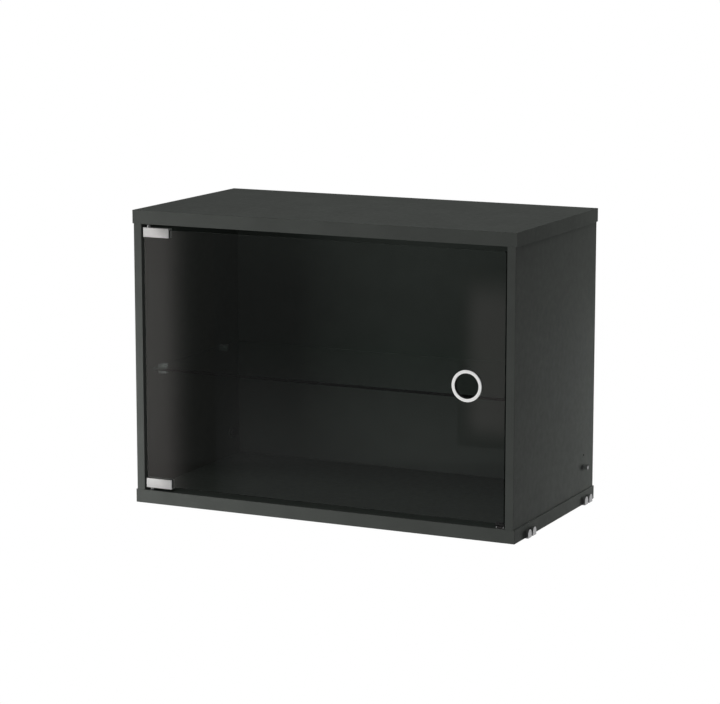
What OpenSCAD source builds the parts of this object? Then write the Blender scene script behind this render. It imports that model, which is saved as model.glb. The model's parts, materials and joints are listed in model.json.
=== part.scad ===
// Wall mounted showcase: a boxed display cabinet with a pivoted glass door, which hangs
// between two ladder uprights. The origin is the centre of its underside, the door faces -Y
// and +Z is up. All sizes are in millimetres.

/* [Case] */
// Overall width over the top and bottom boards
case_w = 580; // [400:1:900]
// Overall depth, door face to rear edge
case_d = 300; // [240:1:400]
// Overall height
case_h = 418; // [300:1:700]
// Thickness of the top and bottom boards
board_t = 19; // [16:1:25]
// Thickness of the side boards
side_t = 12; // [12:1:18]
// How far each side board is set in from the ends of the top and bottom boards
side_inset = 2; // [0:0.5:6]
// Thickness of the back board
back_t = 12; // [10:1:16]
// How far the back board is set in from the rear edge
back_recess = 2; // [0:0.5:10]

/* [Door] */
// Thickness of the door glass
glass_t = 4; // [4:0.5:5]
// Front face of the glass behind the front edge of the case
glass_setback = 3; // [3:0.1:6]
// Gap between the glass and each side board
door_gap = 2.8; // [2:0.1:4]
// Gap between the upper hinge clamp and the top board
door_gap_top = 4.8; // [4.5:0.1:7]
// Gap between the lower hinge clamp and the bottom board
door_gap_bottom = 4; // [4:0.1:5]
// Radius of the glass corners
glass_corner_r = 2; // [0.5:0.5:5]

/* [Finger pull] */
// Outer diameter of the finger ring
ring_d = 43.4; // [40:0.2:60]
// Clear diameter of the finger hole
ring_hole_d = 34.6; // [28:0.2:40]
// Thickness of the ring's front flange
ring_flange_t = 1.4; // [1:0.1:1.6]
// Distance of the ring's centre from the free edge of the glass
ring_edge_gap = 54.6; // [35:0.1:90]

/* [Hinges] */
// Length of a hinge clamp along the door
clamp_len = 40.5; // [34:0.5:60]
// Height of a hinge clamp
clamp_h = 13.4; // [12:0.1:20]
// Front wall of a clamp, and its web over the edge of the glass
clamp_wall = 2; // [1.5:0.1:2.2]
// Rear wall of a clamp, which holds the set screws
clamp_rear_wall = 3.5; // [3:0.1:5]
// Distance of the pivot axis from the hinged edge of the glass
pivot_in = 7.2; // [6:0.1:9]
// Diameter of the hinge pins
hinge_pin_d = 5; // [4:0.5:5]

/* [Shelf] */
// Thickness of the glass shelf
shelf_t = 4; // [4:0.5:6]
// Underside of the glass shelf above the underside of the case
shelf_z = 187.2; // [120:0.1:230]
// Front edge of the shelf behind the front edge of the case
shelf_front = 28; // [25:1:60]
// Centre of the front and rear shelf clips behind the front edge of the case
shelf_clip_at = [50, 232];

/* [Hooks] */
// Centre of the front and rear hooks behind the front edge of the case
hook_at = [52.7, 268];
// How far a hook stands out from the end of the bottom board
hook_out = 4.6; // [3:0.1:6]
// Width of each of a hook's two horns
horn_w = 12; // [8:0.5:16]
// Height of the horns
horn_h = 11.6; // [8:0.1:16]
// Diameter of the upright rod that the notch between the horns takes
rod_d = 5; // [4:0.5:6]

/* [Locks] */
// Diameter of the locking pins
lock_pin_d = 7; // [5:0.5:8]
// How far a locking pin stands out from the side board
lock_out = 7; // [5:0.5:8]
// Centre of the locking pins behind the front edge of the case
lock_at = 262; // [200:1:262]
// Height of the locking pins
lock_z = 53.5; // [35:0.5:90]

/* [Hidden] */
$fn = 64;
cut = 1; // how far a cutting shape runs past the face that it cuts

// Case
half_w = case_w / 2;
front_y = -case_d / 2;
side_out = half_w - side_inset;
side_in = side_out - side_t;
floor_z = board_t;
ceiling_z = case_h - board_t;
back_y = case_d / 2 - back_recess - back_t;
tongue_t = 4;
tongue_l = 5;
groove_play = 0.1;
tongue_y = back_y + (back_t - tongue_t) / 2;
dowel_d = 6;
dowel_in_board = 11;
dowel_in_side = 18;
dowel_at = [30, 150, 250];
dowel_x = side_out - side_t / 2;

// Door, with its leaf centred on leaf_y
leaf_y = front_y + glass_setback + glass_t / 2;
glass_front = leaf_y - glass_t / 2;
glass_back = leaf_y + glass_t / 2;
glass_half_w = side_in - door_gap;
clamp_top_z = ceiling_z - door_gap_top;
clamp_bottom_z = floor_z + door_gap_bottom;
liner_t = 0.5;
glass_top_z = clamp_top_z - clamp_wall - liner_t;
glass_bottom_z = clamp_bottom_z + clamp_wall + liner_t;
pivot_x = -glass_half_w + pivot_in;

// Finger pull
ring_x = glass_half_w - ring_edge_gap;
ring_z = (glass_top_z + glass_bottom_z) / 2;
ring_sleeve_r = ring_hole_d / 2 + 1.6;
ring_play = 0.4;
washer_t = 0.4;
ring_seat = 0.5; // depth of the seat in the back of the flange
sleeve_flange_t = 1.2;

// Hinges
clamp_front_y = glass_front - liner_t - clamp_wall;
clamp_back_y = glass_back + liner_t + clamp_rear_wall;
clamp_x = -glass_half_w;
clamp_screw_d = 4;
clamp_screw_l = 4;
clamp_screw_at = [18, 32];
clamp_screw_drop = 7.5;
socket_d = 2.3;
socket_l = 2;
collar_d = 6.6;
collar_h = 2.9;
pin_in_bushing = 8;
bushing_d = 8;
bushing_l = 10;
bushing_flange_d = 9.6;
bushing_flange_t = 1;
pin_play = 0.05;

// Shelf
shelf_side_gap = 1.5;
shelf_half_w = side_in - shelf_side_gap;
shelf_back_y = back_y - 6;
clip_r = 6;
clip_reach = 12;
clip_below = 7;
clip_above = 2.3;
clip_pin_d = 5;
clip_pin_in_clip = 4;
clip_pin_in_side = 8;

// Catch, under and behind the free bottom corner of the glass
catch_x = 268;
catch_pole_t = 1.5;
catch_magnet_w = 8.5;
catch_pole_h = 3.2;
catch_magnet_h = 2.8;
catch_front_y = front_y + 2.2;
strike_t = 0.8;
strike_w = 12;
strike_h = 1.6;
strike_drop = 2.8;
strike_gap = 0.2;
stop_y = glass_back + strike_t + strike_gap;
stop_d = 4;
stop_h = 4.6;
stop_w = 15;
catch_sunk = 3;

// Hooks: a base let into the underside and two horns outside the end of the board
rod_r = rod_d / 2;
notch_r = rod_r + 0.1;
notch_web_t = 0.6;
notch_x = half_w + notch_web_t + notch_r;
hook_w = 2 * horn_w + 2 * notch_r;
hook_base_in = 26;
hook_base_t = 4;
hook_screw_d = 4;
hook_screw_l = 14;
hook_screw_in = 13;
hook_screw_head_d = 8;
hook_screw_head_h = 2.2;
hook_screw_spacing = 18;
hook_screw_play = 0.4;
hook_socket_d = 3.4;
hook_socket_l = 1.3;

// Locks
lock_y = front_y + lock_at;
lock_bush_d = 12;
lock_bush_flange_d = 17;
lock_bush_flange_t = 1.2;
lock_bore_play = 0.05;
lock_chamber_d = 9.6;
lock_lip_l = 2.2;
lock_chamber_end = side_out - lock_lip_l;
lock_chamber_l = side_t - lock_lip_l - 0.2;
lock_guide_d = lock_pin_d + 0.4;
lock_collar_d = 9;
lock_collar_l = 1.2;
lock_collar_x = lock_chamber_end - lock_collar_l;
lock_stem_d = 4;
lock_knob_d = 12;
lock_knob_l = 7;
lock_knob_neck_d = 9;
lock_knob_neck_l = 3;
lock_knob_gap = 0.3;
lock_knob_x = side_in - lock_bush_flange_t - lock_knob_gap - lock_knob_l;
spring_wire_r = 0.3;
spring_base_r = 4.2;
spring_tip_r = 2.4;
spring_turns = 3;
spring_steps = 16;
spring_sides = 6;
spring_gap = 0.05;
spring_x = lock_chamber_end - lock_chamber_l + spring_wire_r + spring_gap;
spring_l = lock_collar_x - spring_x - spring_wire_r - spring_gap;
pilot_d = 3;
pilot_z = lock_z + 17;
pilot_l = 8;

// Colours
case_colour = [0.24, 0.25, 0.24];
clear = [0.75, 0.82, 0.8, 0.35];
bright_metal = [0.8, 0.8, 0.8];
satin_metal = [0.72, 0.72, 0.71];
pale_ring = [0.9, 0.9, 0.89];
blackened = [0.08, 0.08, 0.08];
beech = [0.75, 0.6, 0.42];

// A box from its lowest to its highest corner
module box(low, high) {
    translate(low)
        cube(high - low);
}

// A cylinder along +X that starts at x
module rod_x(r, x, l) {
    translate([x, 0, 0])
        rotate([0, 90, 0])
            cylinder(r = r, h = l);
}

// A cylinder along +Y that starts at y
module rod_y(r, y, l) {
    translate([0, y, 0])
        rotate([-90, 0, 0])
            cylinder(r = r, h = l);
}

// The same shape on the right (side 1) or mirrored onto the left (side -1)
module on_side(side) {
    mirror([side < 0 ? 1 : 0, 0, 0])
        children();
}

// ---- Case ----

// All dowels: three at each end of each side board, in the joints with the top and the bottom
module at_dowels() {
    for (side = [-1, 1], at = dowel_at)
        translate([side * dowel_x, front_y + at, 0])
            children();
}

module dowel_holes_at(z, l) {
    at_dowels()
        translate([0, 0, z])
            cylinder(d = dowel_d, h = l);
}

module panel_dowels() {
    color(beech)
        at_dowels()
            for (z = [floor_z - dowel_in_board, ceiling_z - dowel_in_side])
                translate([0, 0, z])
                    cylinder(d = dowel_d, h = dowel_in_board + dowel_in_side);
}

// The slot that the back board's tongue enters, all round the case
module back_groove() {
    reach = tongue_l + groove_play;
    box([-side_in - reach, tongue_y - groove_play, floor_z - reach],
        [side_in + reach, tongue_y + tongue_t + groove_play, ceiling_z + reach]);
}

module bushing_bore(z) {
    translate([pivot_x, leaf_y, z])
        cylinder(d = bushing_d, h = bushing_l + cut);
}

module top_panel() {
    color(case_colour)
        difference() {
            box([-half_w, front_y, ceiling_z], [half_w, -front_y, case_h]);
            back_groove();
            dowel_holes_at(ceiling_z - cut, dowel_in_board + cut);
            bushing_bore(ceiling_z - cut);
        }
}

module bottom_panel() {
    color(case_colour)
        difference() {
            box([-half_w, front_y, 0], [half_w, -front_y, floor_z]);
            back_groove();
            dowel_holes_at(floor_z - dowel_in_board, dowel_in_board + cut);
            bushing_bore(floor_z - bushing_l);
            catch_pocket();
            for (side = [-1, 1], at = hook_at)
                on_side(side)
                    hook_pocket(at);
        }
}

module side_panel(side) {
    color(case_colour)
        on_side(side)
            difference() {
                box([side_in, front_y, floor_z], [side_out, -front_y, ceiling_z]);
                back_groove();
                for (at = dowel_at, z = [floor_z - cut, ceiling_z - dowel_in_side])
                    translate([dowel_x, front_y + at, z])
                        cylinder(d = dowel_d, h = dowel_in_side + cut);
                for (at = shelf_clip_at)
                    translate([0, front_y + at, shelf_z - clip_below / 2])
                        rod_x(clip_pin_d / 2, side_in - cut, clip_pin_in_side + cut);
                translate([0, lock_y, lock_z])
                    rod_x(lock_bush_d / 2, side_in - cut, side_t + 2 * cut);
                translate([0, lock_y, pilot_z])
                    rod_x(pilot_d / 2, side_out - pilot_l, pilot_l + cut);
            }
}

module left_side_panel() {
    side_panel(-1);
}

module right_side_panel() {
    side_panel(1);
}

module back_panel() {
    color(case_colour) {
        box([-side_in, back_y, floor_z], [side_in, back_y + back_t, ceiling_z]);
        box([-side_in - tongue_l, tongue_y, floor_z - tongue_l],
            [side_in + tongue_l, tongue_y + tongue_t, ceiling_z + tongue_l]);
    }
}

// ---- Shelf ----

module glass_shelf() {
    color(clear)
        box([-shelf_half_w, front_y + shelf_front, shelf_z],
            [shelf_half_w, shelf_back_y, shelf_z + shelf_t]);
}

// A clip seen from above: square at the wall, round at its free end
module clip_outline() {
    translate([side_in - clip_reach + clip_r, 0])
        circle(r = clip_r);
    translate([side_in - clip_reach + clip_r, -clip_r])
        square([clip_reach - clip_r, 2 * clip_r]);
}

// A clear clip that grips the edge of the shelf between a thick lower and a thin upper jaw
module shelf_clip(side, at) {
    color(clear)
        on_side(side)
            translate([0, front_y + at, 0])
                difference() {
                    translate([0, 0, shelf_z - clip_below])
                        linear_extrude(clip_below + shelf_t + clip_above)
                            clip_outline();
                    box([side_in - clip_reach - cut, -clip_r - cut, shelf_z],
                        [shelf_half_w, clip_r + cut, shelf_z + shelf_t]);
                    translate([0, 0, shelf_z - clip_below / 2])
                        rod_x(clip_pin_d / 2, side_in - clip_pin_in_clip, clip_pin_in_clip + cut);
                }
}

module shelf_clip_left_front() {
    shelf_clip(-1, shelf_clip_at[0]);
}

module shelf_clip_left_rear() {
    shelf_clip(-1, shelf_clip_at[1]);
}

module shelf_clip_right_front() {
    shelf_clip(1, shelf_clip_at[0]);
}

module shelf_clip_right_rear() {
    shelf_clip(1, shelf_clip_at[1]);
}

module shelf_clip_pins() {
    color(bright_metal)
        for (side = [-1, 1], at = shelf_clip_at)
            on_side(side)
                translate([0, front_y + at, shelf_z - clip_below / 2])
                    rod_x(clip_pin_d / 2, side_in - clip_pin_in_clip,
                        clip_pin_in_clip + clip_pin_in_side);
}

// ---- Hinge, cabinet side ----

// A flanged bushing with its flange at z = 0 and its barrel above it
module bushing() {
    color(blackened)
        difference() {
            union() {
                translate([0, 0, -bushing_flange_t])
                    cylinder(d = bushing_flange_d, h = bushing_flange_t);
                cylinder(d = bushing_d, h = bushing_l);
            }
            translate([0, 0, -bushing_flange_t - cut])
                cylinder(r = hinge_pin_d / 2 + pin_play, h = bushing_l + bushing_flange_t);
        }
}

module upper_hinge_bushing() {
    translate([pivot_x, leaf_y, ceiling_z])
        bushing();
}

module lower_hinge_bushing() {
    translate([pivot_x, leaf_y, floor_z])
        mirror([0, 0, 1])
            bushing();
}

// ---- Catch, cabinet side ----

module catch_pocket() {
    box([catch_x - stop_w / 2, stop_y, floor_z - catch_sunk],
        [catch_x + stop_w / 2, stop_y + stop_d, floor_z + cut]);
    box([catch_x - catch_magnet_w / 2 - catch_pole_t, catch_front_y, floor_z - catch_sunk],
        [catch_x + catch_magnet_w / 2 + catch_pole_t, stop_y + cut, floor_z + cut]);
}

module catch_housing() {
    color(blackened)
        box([catch_x - stop_w / 2, stop_y, floor_z - catch_sunk],
            [catch_x + stop_w / 2, stop_y + stop_d, floor_z + stop_h]);
}

module catch_magnet() {
    color(blackened)
        box([catch_x - catch_magnet_w / 2, catch_front_y, floor_z - catch_sunk],
            [catch_x + catch_magnet_w / 2, stop_y, floor_z + catch_magnet_h]);
}

module catch_pole_plates() {
    color(bright_metal)
        for (x = [-catch_magnet_w / 2 - catch_pole_t, catch_magnet_w / 2])
            box([catch_x + x, catch_front_y, floor_z - catch_sunk],
                [catch_x + x + catch_pole_t, stop_y, floor_z + catch_pole_h]);
}

// ---- Hooks ----

module hook_pocket(at) {
    box([half_w - hook_base_in, front_y + at - hook_w / 2, -cut],
        [half_w + cut, front_y + at + hook_w / 2, hook_base_t]);
    for (y = [-1, 1])
        translate([half_w - hook_screw_in, front_y + at + y * hook_screw_spacing / 2, 0])
            cylinder(d = hook_screw_d, h = hook_screw_l);
}

// One horn seen from the side: straight sides and a round top
module horn_outline() {
    square([horn_w, horn_h - horn_w / 2]);
    translate([horn_w / 2, horn_h - horn_w / 2])
        circle(d = horn_w);
}

module horn(y) {
    translate([half_w, y, 0])
        rotate([90, 0, 90])
            linear_extrude(hook_out)
                intersection() {
                    horn_outline();
                    square([horn_w, horn_h]);
                }
}

// The base lies in the board's underside. The web joins the horns and seats the rod.
module hook(side, at) {
    color(bright_metal)
        on_side(side)
            translate([0, front_y + at, 0])
                difference() {
                    union() {
                        box([half_w - hook_base_in, -hook_w / 2, 0],
                            [notch_x, hook_w / 2, hook_base_t]);
                        horn(-hook_w / 2);
                        horn(notch_r);
                        box([half_w, -hook_w / 2 + horn_w / 2, 0],
                            [notch_x, hook_w / 2 - horn_w / 2, horn_h - horn_w / 2]);
                    }
                    translate([notch_x, 0, -cut])
                        cylinder(r = notch_r, h = horn_h + 2 * cut);
                    for (y = [-1, 1])
                        translate([half_w - hook_screw_in, y * hook_screw_spacing / 2, -cut]) {
                            cylinder(d = hook_screw_d + hook_screw_play,
                                h = hook_base_t + 2 * cut);
                            cylinder(d = hook_screw_head_d + hook_screw_play,
                                h = hook_screw_head_h + cut);
                        }
                }
}

module hook_left_front() {
    hook(-1, hook_at[0]);
}

module hook_left_rear() {
    hook(-1, hook_at[1]);
}

module hook_right_front() {
    hook(1, hook_at[0]);
}

module hook_right_rear() {
    hook(1, hook_at[1]);
}

// A screw with its head down and a hexagon socket in the head
module hook_screw() {
    difference() {
        union() {
            cylinder(d = hook_screw_head_d, h = hook_screw_head_h);
            cylinder(d = hook_screw_d, h = hook_screw_l);
        }
        translate([0, 0, -cut])
            cylinder(d = hook_socket_d, h = hook_socket_l + cut, $fn = 6);
    }
}

module hook_screws() {
    color(bright_metal)
        for (side = [-1, 1], at = hook_at, y = [-1, 1])
            translate([side * (half_w - hook_screw_in),
                    front_y + at + y * hook_screw_spacing / 2, 0])
                hook_screw();
}

// ---- Locks ----

// A flanged bush. Its chamber holds the spring, and its inner end guides the pin's stem.
module lock_bush(side) {
    color(case_colour)
        on_side(side)
            translate([0, lock_y, lock_z])
                difference() {
                    union() {
                        rod_x(lock_bush_flange_d / 2, side_in - lock_bush_flange_t,
                            lock_bush_flange_t);
                        rod_x(lock_bush_d / 2, side_in, side_t);
                    }
                    rod_x(lock_stem_d / 2 + lock_bore_play, side_in - lock_bush_flange_t - cut,
                        lock_bush_flange_t + side_t);
                    rod_x(lock_chamber_d / 2, lock_chamber_end - lock_chamber_l,
                        lock_chamber_l + lock_lip_l + cut);
                }
}

module lock_bush_left() {
    lock_bush(-1);
}

module lock_bush_right() {
    lock_bush(1);
}

// A ring pressed into the outer end of the bush, which guides the pin and stops its collar
module lock_ring(side) {
    color(case_colour)
        on_side(side)
            translate([0, lock_y, lock_z])
                difference() {
                    rod_x(lock_chamber_d / 2, lock_chamber_end, lock_lip_l);
                    rod_x(lock_guide_d / 2 + lock_bore_play, lock_chamber_end - cut,
                        lock_lip_l + 2 * cut);
                }
}

module lock_ring_left() {
    lock_ring(-1);
}

module lock_ring_right() {
    lock_ring(1);
}

// A locking pin. Its collar stops it at the ring, which guides the thicker length inside the
// board. The free end is outside, and the stem carries the knob.
module lock_pin(side) {
    stem_x = lock_knob_x + lock_knob_l / 2;
    color(bright_metal)
        on_side(side)
            translate([0, lock_y, lock_z]) {
                rod_x(lock_pin_d / 2, lock_collar_x, side_out + lock_out - lock_collar_x);
                rod_x(lock_guide_d / 2, lock_collar_x, side_out - lock_collar_x);
                rod_x(lock_collar_d / 2, lock_collar_x, lock_collar_l);
                rod_x(lock_stem_d / 2, stem_x, lock_collar_x - stem_x);
            }
}

module lock_pin_left() {
    lock_pin(-1);
}

module lock_pin_right() {
    lock_pin(1);
}

// The knob inside the cabinet, with a neck for the fingertips next to the bush
module lock_knob(side) {
    color(blackened)
        on_side(side)
            translate([0, lock_y, lock_z])
                difference() {
                    union() {
                        rod_x(lock_knob_d / 2, lock_knob_x, lock_knob_l - lock_knob_neck_l);
                        rod_x(lock_knob_neck_d / 2, lock_knob_x, lock_knob_l);
                    }
                    rod_x(lock_stem_d / 2, lock_knob_x + lock_knob_l / 2, lock_knob_l);
                }
}

module lock_knob_left() {
    lock_knob(-1);
}

module lock_knob_right() {
    lock_knob(1);
}

// Ring k of a spring's wire: points round a circle that faces along the coil. The coil is
// conical, so that its turns nest inside each other when the pin is pulled in.
function spring_ring(k) =
    let (turn = 360 * k / spring_steps,
        share = k / (spring_turns * spring_steps),
        coil_r = spring_base_r + (spring_tip_r - spring_base_r) * share)
        [for (s = [0 : spring_sides - 1])
            let (a = 360 * s / spring_sides, r = coil_r + spring_wire_r * cos(a))
                [spring_x + spring_l * share + spring_wire_r * sin(a),
                    r * cos(turn), r * sin(turn)]];

// The spring pushes the collar outward from the inner end of the bush's chamber
module lock_spring(side) {
    last = spring_turns * spring_steps;
    points = [for (k = [0 : last]) each spring_ring(k)];
    walls = [for (k = [0 : last - 1], s = [0 : spring_sides - 1])
        let (t = (s + 1) % spring_sides, a = k * spring_sides, b = a + spring_sides)
            [a + s, b + s, b + t, a + t]];
    ends = [[for (s = [0 : spring_sides - 1]) s],
        [for (s = [0 : spring_sides - 1]) last * spring_sides + spring_sides - 1 - s]];
    color(bright_metal)
        on_side(side)
            translate([0, lock_y, lock_z])
                polyhedron(points, concat(walls, ends));
}

module lock_spring_left() {
    lock_spring(-1);
}

module lock_spring_right() {
    lock_spring(1);
}

// ---- Door ----

// A rectangle with round corners, drawn from its lowest corner
module rounded_rectangle(w, h, r) {
    translate([r, 0])
        square([w - 2 * r, h]);
    translate([0, r])
        square([w, h - 2 * r]);
    for (x = [r, w - r], y = [r, h - r])
        translate([x, y])
            circle(r = r);
}

module door_glass() {
    color(clear)
        difference() {
            translate([-glass_half_w, glass_back, glass_bottom_z])
                rotate([90, 0, 0])
                    linear_extrude(glass_t)
                        rounded_rectangle(2 * glass_half_w, glass_top_z - glass_bottom_z,
                            glass_corner_r);
            translate([ring_x, 0, ring_z])
                rod_y(ring_sleeve_r + ring_play, glass_front - cut, glass_t + 2 * cut);
        }
}

// A flat ring about the finger hole, from radius a to radius b, that starts at y
module ring(a, b, y, t) {
    translate([ring_x, 0, ring_z])
        difference() {
            rod_y(b, y, t);
            rod_y(a, y - cut, t + 2 * cut);
        }
}

// The front flange has a rounded rim, and its sleeve passes through the glass
// The bright front flange. Its rim is round, and a seat in its back holds the sleeve's end
module finger_ring() {
    hole_r = ring_hole_d / 2;
    edge_r = ring_flange_t / 2;
    color(pale_ring)
        translate([ring_x, glass_front - washer_t, ring_z])
            rotate([90, 0, 0])
                rotate_extrude() {
                    translate([hole_r, ring_seat])
                        square([ring_d / 2 - edge_r - hole_r, ring_flange_t - ring_seat]);
                    translate([ring_sleeve_r, 0])
                        square([ring_d / 2 - edge_r - ring_sleeve_r, ring_flange_t]);
                    translate([ring_d / 2 - edge_r, edge_r])
                        circle(r = edge_r);
                }
}

// The black sleeve through the glass, which has a flange of its own at the back
module finger_sleeve() {
    hole_r = ring_hole_d / 2;
    clamped = washer_t + glass_t + washer_t;
    color(blackened)
        translate([ring_x, glass_front - washer_t, ring_z])
            rotate([90, 0, 0])
                rotate_extrude() {
                    translate([hole_r, -clamped - sleeve_flange_t])
                        square([ring_sleeve_r - hole_r, clamped + sleeve_flange_t + ring_seat]);
                    translate([hole_r, -clamped - sleeve_flange_t])
                        square([ring_d / 2 - hole_r, sleeve_flange_t]);
                }
}

module ring_washers() {
    color(clear)
        for (y = [glass_front - washer_t, glass_back])
            ring(ring_sleeve_r + ring_play, ring_d / 2 - 1, y, washer_t);
}

// ---- Hinge, door side ----

// The upper hinge is the lower one turned over, with its web's outer face at the top
module at_top() {
    translate([0, 0, clamp_top_z])
        mirror([0, 0, 1])
            children();
}

module at_bottom() {
    translate([0, 0, clamp_bottom_z])
        children();
}

module at_clamp_screws() {
    for (at = clamp_screw_at)
        translate([clamp_x + at, 0, clamp_screw_drop])
            children();
}

// A channel over the edge of the glass, which stands on z = 0
module hinge_clamp() {
    color(satin_metal)
        difference() {
            box([clamp_x, clamp_front_y, 0], [clamp_x + clamp_len, clamp_back_y, clamp_h]);
            box([clamp_x - cut, glass_front - liner_t, clamp_wall],
                [clamp_x + clamp_len + cut, glass_back + liner_t, clamp_h + cut]);
            translate([pivot_x, leaf_y, -cut])
                cylinder(d = hinge_pin_d, h = clamp_wall + 2 * cut);
            at_clamp_screws()
                rod_y(clamp_screw_d / 2, glass_back + liner_t - cut, clamp_rear_wall + 2 * cut);
        }
}

module upper_hinge_clamp() {
    at_top()
        hinge_clamp();
}

module lower_hinge_clamp() {
    at_bottom()
        hinge_clamp();
}

module clamp_liner() {
    color(blackened)
        difference() {
            box([clamp_x, glass_front - liner_t, clamp_wall],
                [clamp_x + clamp_len, glass_back + liner_t, clamp_h]);
            box([clamp_x - cut, glass_front, clamp_wall + liner_t],
                [clamp_x + clamp_len + cut, glass_back, clamp_h + cut]);
        }
}

module upper_clamp_liner() {
    at_top()
        clamp_liner();
}

module lower_clamp_liner() {
    at_bottom()
        clamp_liner();
}

// A pin riveted into the clamp's web, with a collar that turns on the bushing's flange
module hinge_pin(gap) {
    color(bright_metal)
        translate([pivot_x, leaf_y, 0]) {
            translate([0, 0, -gap - pin_in_bushing])
                cylinder(d = hinge_pin_d, h = gap + pin_in_bushing + clamp_wall);
            translate([0, 0, -collar_h])
                cylinder(d = collar_d, h = collar_h);
        }
}

module upper_hinge_pin() {
    at_top()
        hinge_pin(door_gap_top);
}

module lower_hinge_pin() {
    at_bottom()
        hinge_pin(door_gap_bottom);
}

module clamp_screw() {
    difference() {
        rod_y(clamp_screw_d / 2, glass_back + liner_t, clamp_screw_l);
        translate([0, glass_back + liner_t + clamp_screw_l - socket_l, 0])
            rotate([-90, 0, 0])
                cylinder(d = socket_d, h = socket_l + cut, $fn = 6);
    }
}

module clamp_screws() {
    color(satin_metal) {
        at_top()
            at_clamp_screws()
                clamp_screw();
        at_bottom()
            at_clamp_screws()
                clamp_screw();
    }
}

// ---- Catch, door side ----

// A blackened steel angle at the bottom corner of the glass: a plate behind the glass, and a bar
// under its edge that comes down to just above the poles
module catch_strike() {
    bar_z = glass_bottom_z - strike_drop;
    color(blackened) {
        box([catch_x - strike_w / 2 - 1, glass_back, bar_z],
            [catch_x + strike_w / 2 - 1, glass_back + strike_t, glass_bottom_z + strike_h]);
        box([catch_x - strike_w / 2 - 1, glass_front + 0.5, bar_z],
            [catch_x + strike_w / 2 - 1, glass_back, glass_bottom_z]);
    }
}

top_panel();
bottom_panel();
left_side_panel();
right_side_panel();
back_panel();
panel_dowels();
glass_shelf();
shelf_clip_left_front();
shelf_clip_left_rear();
shelf_clip_right_front();
shelf_clip_right_rear();
shelf_clip_pins();
upper_hinge_bushing();
lower_hinge_bushing();
catch_housing();
catch_magnet();
catch_pole_plates();
hook_left_front();
hook_left_rear();
hook_right_front();
hook_right_rear();
hook_screws();
lock_bush_left();
lock_bush_right();
lock_ring_left();
lock_ring_right();
lock_spring_left();
lock_spring_right();
lock_pin_left();
lock_pin_right();
lock_knob_left();
lock_knob_right();
door_glass();
finger_ring();
finger_sleeve();
ring_washers();
upper_hinge_clamp();
lower_hinge_clamp();
upper_clamp_liner();
lower_clamp_liner();
upper_hinge_pin();
lower_hinge_pin();
clamp_screws();
catch_strike();
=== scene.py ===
import json
import math

import bmesh
import bpy
from mathutils import Matrix, Vector


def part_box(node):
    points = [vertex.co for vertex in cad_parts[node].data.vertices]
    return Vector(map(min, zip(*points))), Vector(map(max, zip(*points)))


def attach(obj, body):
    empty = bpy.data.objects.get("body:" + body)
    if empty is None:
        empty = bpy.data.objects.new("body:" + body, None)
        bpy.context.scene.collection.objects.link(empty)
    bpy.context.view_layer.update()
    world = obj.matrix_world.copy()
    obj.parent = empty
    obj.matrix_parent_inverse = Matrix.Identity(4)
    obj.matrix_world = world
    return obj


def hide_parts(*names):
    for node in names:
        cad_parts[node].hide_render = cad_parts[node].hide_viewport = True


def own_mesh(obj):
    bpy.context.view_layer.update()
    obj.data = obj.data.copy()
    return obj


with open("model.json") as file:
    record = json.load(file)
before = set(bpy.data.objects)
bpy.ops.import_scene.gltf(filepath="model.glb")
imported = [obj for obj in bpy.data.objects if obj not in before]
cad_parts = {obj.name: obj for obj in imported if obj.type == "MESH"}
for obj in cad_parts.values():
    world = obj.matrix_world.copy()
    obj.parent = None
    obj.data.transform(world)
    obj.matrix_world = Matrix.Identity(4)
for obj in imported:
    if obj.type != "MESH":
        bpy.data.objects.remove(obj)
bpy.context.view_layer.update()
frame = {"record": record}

# A wall mounted showcase. Every shown piece is rebuilt here from the boxes of the CAD nodes, with
# rounded edges, real holes and its own finish. Sizes are in metres, and MM turns millimetres into
# them.

MM = 0.001
record = frame["record"]
SLOT_OF = {part["node"]: part["material_slot"] for part in record["subparts"]}
BODY_OF = {node: body for body, nodes in record["behaviour"]["bodies"].items() for node in nodes}
MOUNTS = {mount["name"]: mount for mount in record["mounts"]}
SIDES = {"left": -1, "right": 1}
OVERSHOOT = 1 * MM  # how far a cutting shape runs past the face that it cuts
NOTHING = 1e-6  # lengths below this count as nothing
WELD = 1e-7  # points closer than this are merged after a cut
SMOOTH_ANGLE = math.radians(35)


# ---------------------------------------------------------------- shaders

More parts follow.
